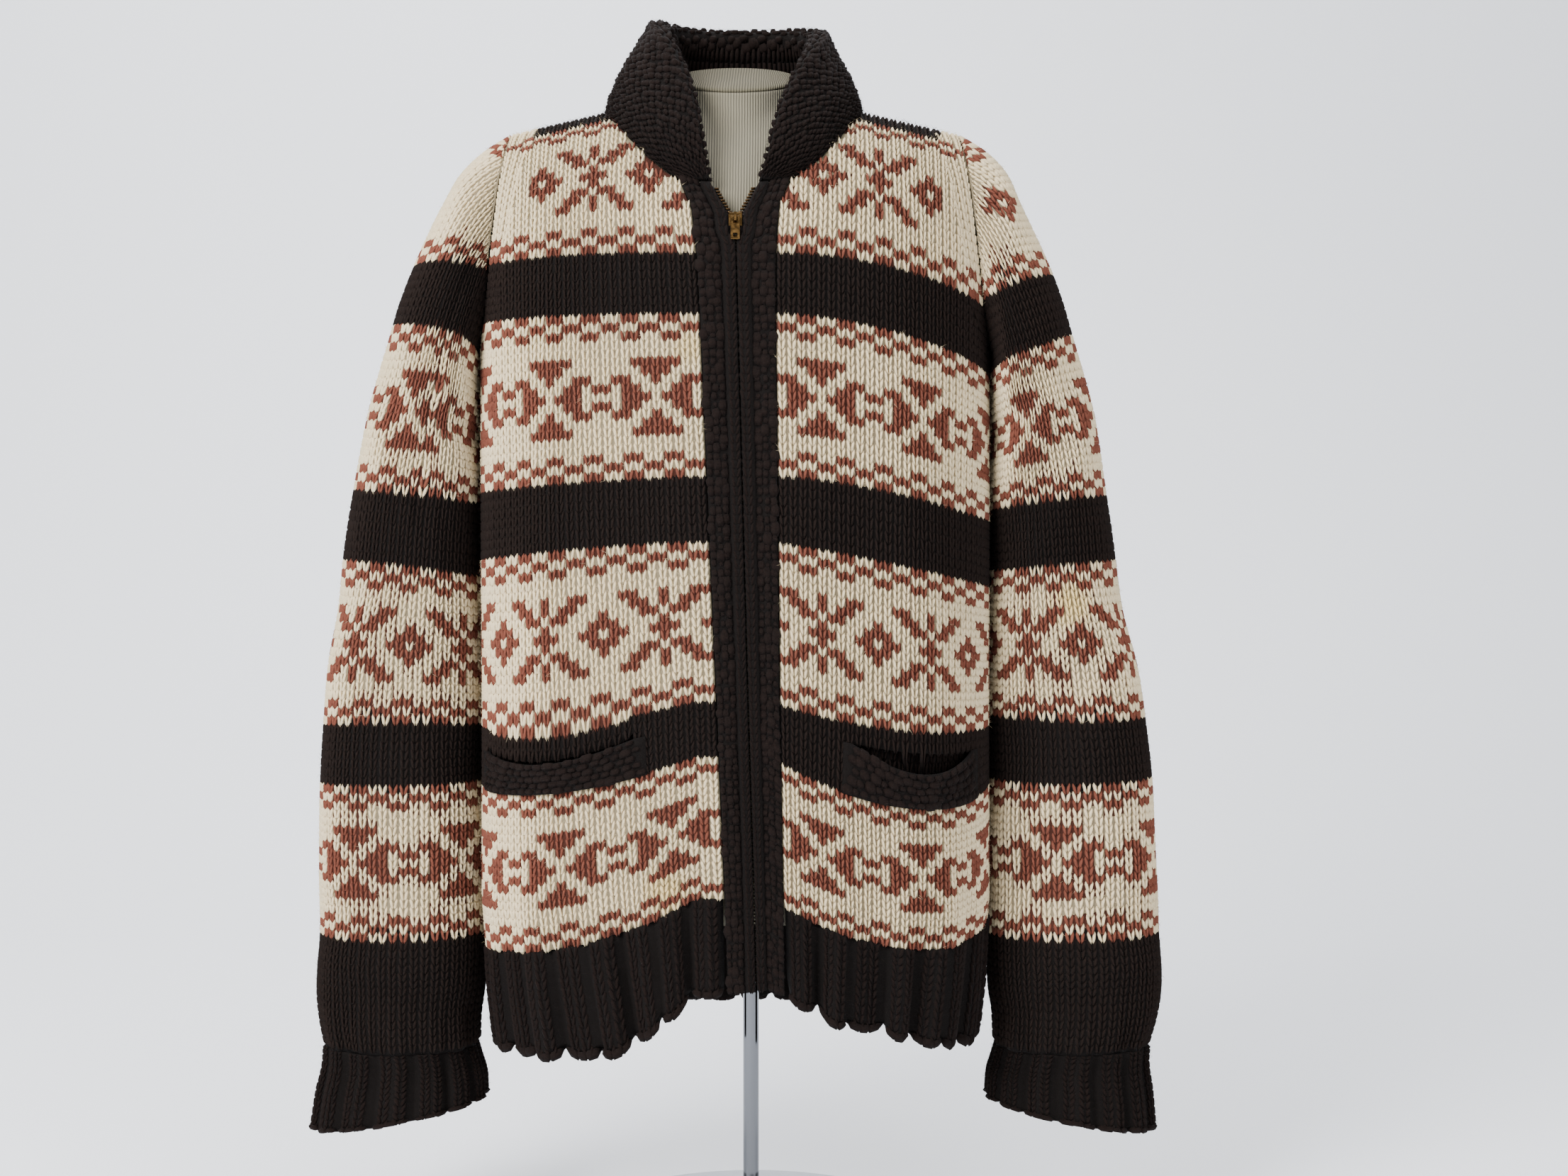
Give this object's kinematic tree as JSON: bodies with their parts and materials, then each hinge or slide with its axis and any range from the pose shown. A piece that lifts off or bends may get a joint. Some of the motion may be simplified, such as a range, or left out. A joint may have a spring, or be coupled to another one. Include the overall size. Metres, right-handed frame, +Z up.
{
  "type": "cowichan cardigan on a dress form",
  "caption": "Bulky-knit zip cardigan with bands of geometric colour-work, shawl collar and slit pockets, on a limbless dress form with a pole and round base.",
  "frame": {"origin": "on the floor under the base plate, close to the garment's middle", "axes": "+Z up; the garment's front faces -Y; +X is the viewer's right"},
  "size_m": [0.6308, 0.28, 0.902],
  "materials": {
    "patterned_wool": "bulky stockinette in cream and rust, bands of dark brown",
    "dark_wool": "dark brown rib and garter stitch",
    "zip_tape": "woven tape with moulded teeth",
    "brass": "worn cast brass",
    "jersey": "cream ribbed jersey stretched over the form",
    "chrome": "polished tube",
    "base_steel": "satin plate"
  },
  "bodies": {
    "garment_and_form": {"back_panel": "patterned_wool", "collar": "dark_wool", "cuff_rib_left": "dark_wool", "cuff_rib_right": "dark_wool", "dress_form": "jersey", "front_band_left": "dark_wool", "front_band_right": "dark_wool", "front_left": "patterned_wool", "front_right": "patterned_wool", "hem_rib_back": "dark_wool", "hem_rib_front_left": "dark_wool", "hem_rib_front_right": "dark_wool", "neck_cap": "jersey", "pocket_lining_left": "dark_wool", "pocket_lining_right": "dark_wool", "pocket_welt_left": "dark_wool", "pocket_welt_right": "dark_wool", "sleeve_lower_left": "patterned_wool", "sleeve_lower_right": "patterned_wool", "sleeve_upper_left": "patterned_wool", "sleeve_upper_right": "patterned_wool", "stand_base": "base_steel", "stand_pole": "chrome", "zip_slider": "brass", "zip_tape_left": "zip_tape", "zip_tape_right": "zip_tape"},
    "pull_tab": {"zip_pull": "brass"}
  },
  "joints": [
    {"name": "pull_tab_hinge", "type": "hinge", "parent": "garment_and_form", "child": "pull_tab", "pos_m": [-0.00183, -0.10506, 0.74441], "axis": [-1, 0, 0], "range_deg": [0, 150]}
  ]
}
